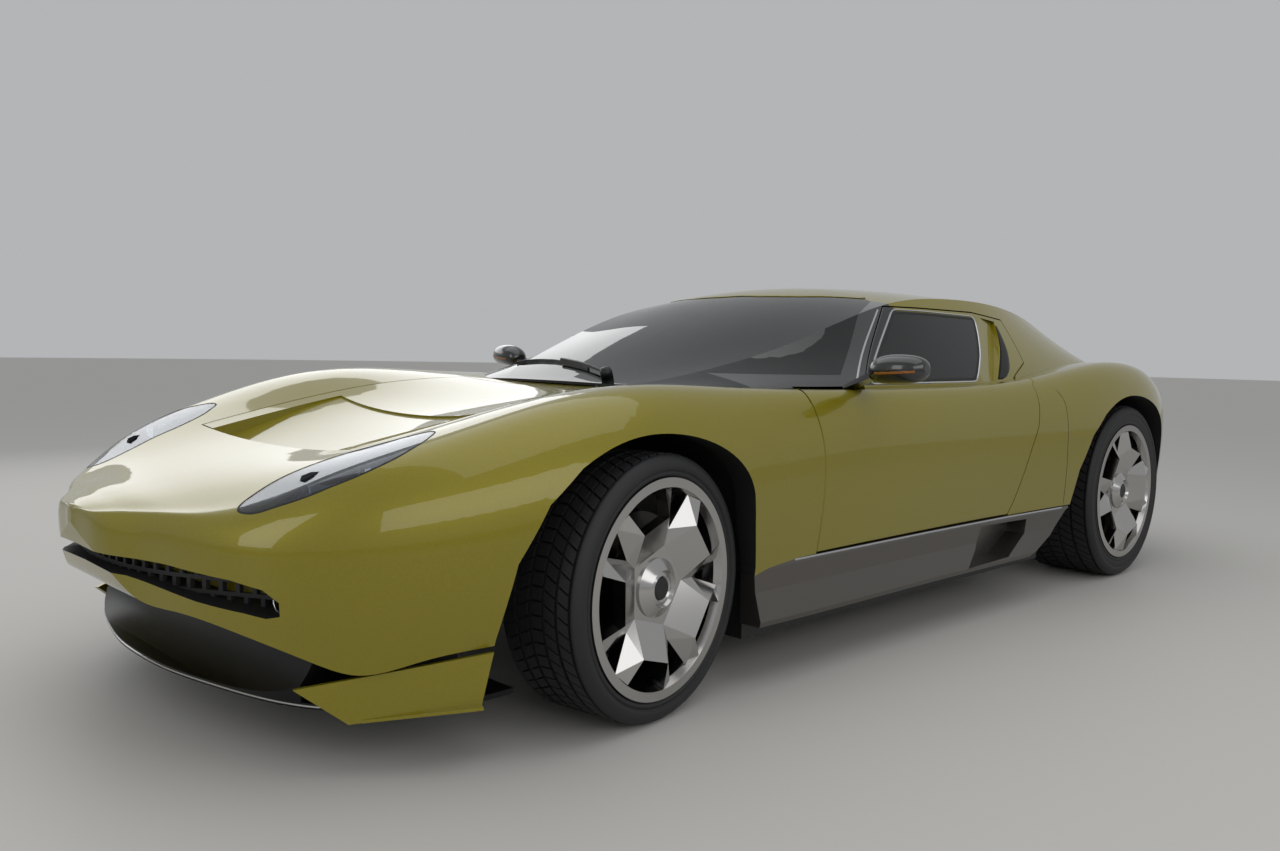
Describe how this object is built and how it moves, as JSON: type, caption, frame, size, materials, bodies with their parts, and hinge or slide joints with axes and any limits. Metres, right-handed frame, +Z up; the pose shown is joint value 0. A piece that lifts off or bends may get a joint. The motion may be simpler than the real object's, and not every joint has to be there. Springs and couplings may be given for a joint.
{
  "type": "mid-engined supercar",
  "caption": "Low mid-engined two-seat coupe with opening doors, bonnet and engine lid, steered front wheels and rolling wheels.",
  "frame": {"origin": "on the floor under the middle of the car", "axes": "+X to the nose, +Y to the car's left side, +Z up"},
  "size_m": [4.594, 2.028, 1.148],
  "materials": {
    "paint": "gloss metallic lime-olive",
    "black_gloss": "gloss black",
    "black_trim": "satin black",
    "glass": "tinted, polished",
    "lens": "clear, polished",
    "red_lens": "clear red",
    "tyre": "matte rubber",
    "wheel": "polished",
    "sill": "brushed",
    "steel": "machined",
    "chrome": "polished",
    "leather": "black grained",
    "cast": "cast"
  },
  "bodies": {
    "root": {"front_body": "paint", "rear_body": "paint", "roof": "paint", "windscreen_pillars": "black_gloss", "windscreen": "glass", "floor_pan": "black_trim", "sills": "sill", "splitter": "black_gloss", "winglets": "paint", "nose_grille": "black_trim", "headlight_covers": "lens", "headlight_units": "black_gloss", "tail_grille": "black_trim", "tail_lamps": "red_lens", "diffuser": "black_trim", "exhaust_tips": "chrome", "dashboard": "leather", "steering_wheel": "leather", "seat_left": "leather", "seat_right": "leather", "engine_block": "cast", "front_suspension": "steel", "rear_suspension": "steel"},
    "bonnet": {"bonnet": "paint"},
    "engine_lid": {"engine_lid": "paint"},
    "door_left": {"door_left": "paint", "door_glass_left": "glass", "scoop_left": "paint", "mirror_left": "black_gloss"},
    "steer_left": {"knuckle_left": "steel"},
    "front_wheel_left": {"tyre_front_left": "tyre", "wheel_front_left": "wheel"},
    "rear_wheel_left": {"tyre_rear_left": "tyre", "wheel_rear_left": "wheel"},
    "door_right": {"door_right": "paint", "door_glass_right": "glass", "scoop_right": "paint", "mirror_right": "black_gloss"},
    "steer_right": {"knuckle_right": "steel"},
    "front_wheel_right": {"tyre_front_right": "tyre", "wheel_front_right": "wheel"},
    "rear_wheel_right": {"tyre_rear_right": "tyre", "wheel_rear_right": "wheel"}
  },
  "joints": [
    {"name": "door_left_hinge", "type": "hinge", "parent": "root", "child": "door_left", "pos_m": [0.535, 0.8, 0.42], "axis": [0, 0, -1], "range_deg": [0, 60]},
    {"name": "steering_left", "type": "hinge", "parent": "root", "child": "steer_left", "pos_m": [1.25, 0.7015, 0.329], "axis": [0, 0, 1], "range_deg": [-42.88, 27.12]},
    {"name": "front_wheel_left_spin", "type": "hinge", "parent": "steer_left", "child": "front_wheel_left", "pos_m": [1.25, 0.7015, 0.329], "axis": [-0.1371, 0.9906, 0], "continuous": true},
    {"name": "rear_wheel_left_spin", "type": "hinge", "parent": "root", "child": "rear_wheel_left", "pos_m": [-1.43, 0.69, 0.35], "axis": [0, 1, 0], "continuous": true},
    {"name": "door_right_hinge", "type": "hinge", "parent": "root", "child": "door_right", "pos_m": [0.535, -0.8, 0.42], "axis": [0, 0, 1], "range_deg": [0, 60]},
    {"name": "steering_right", "type": "hinge", "parent": "root", "child": "steer_right", "pos_m": [1.25, -0.7015, 0.329], "axis": [0, 0, 1], "range_deg": [-42.88, 27.12]},
    {"name": "front_wheel_right_spin", "type": "hinge", "parent": "steer_right", "child": "front_wheel_right", "pos_m": [1.25, -0.7015, 0.329], "axis": [-0.1371, 0.9906, 0], "continuous": true},
    {"name": "rear_wheel_right_spin", "type": "hinge", "parent": "root", "child": "rear_wheel_right", "pos_m": [-1.43, -0.69, 0.35], "axis": [0, 1, 0], "continuous": true},
    {"name": "bonnet_hinge", "type": "hinge", "parent": "root", "child": "bonnet", "pos_m": [0.89, 0, 0.806], "axis": [0, -1, 0], "range_deg": [0, 50]},
    {"name": "engine_lid_hinge", "type": "hinge", "parent": "root", "child": "engine_lid", "pos_m": [-0.79, 0, 1.136], "axis": [0, 1, 0], "range_deg": [0, 40]}
  ],
  "couplings": [
    {"joint": "steering_right", "follows": "steering_left", "ratio": 1}
  ]
}
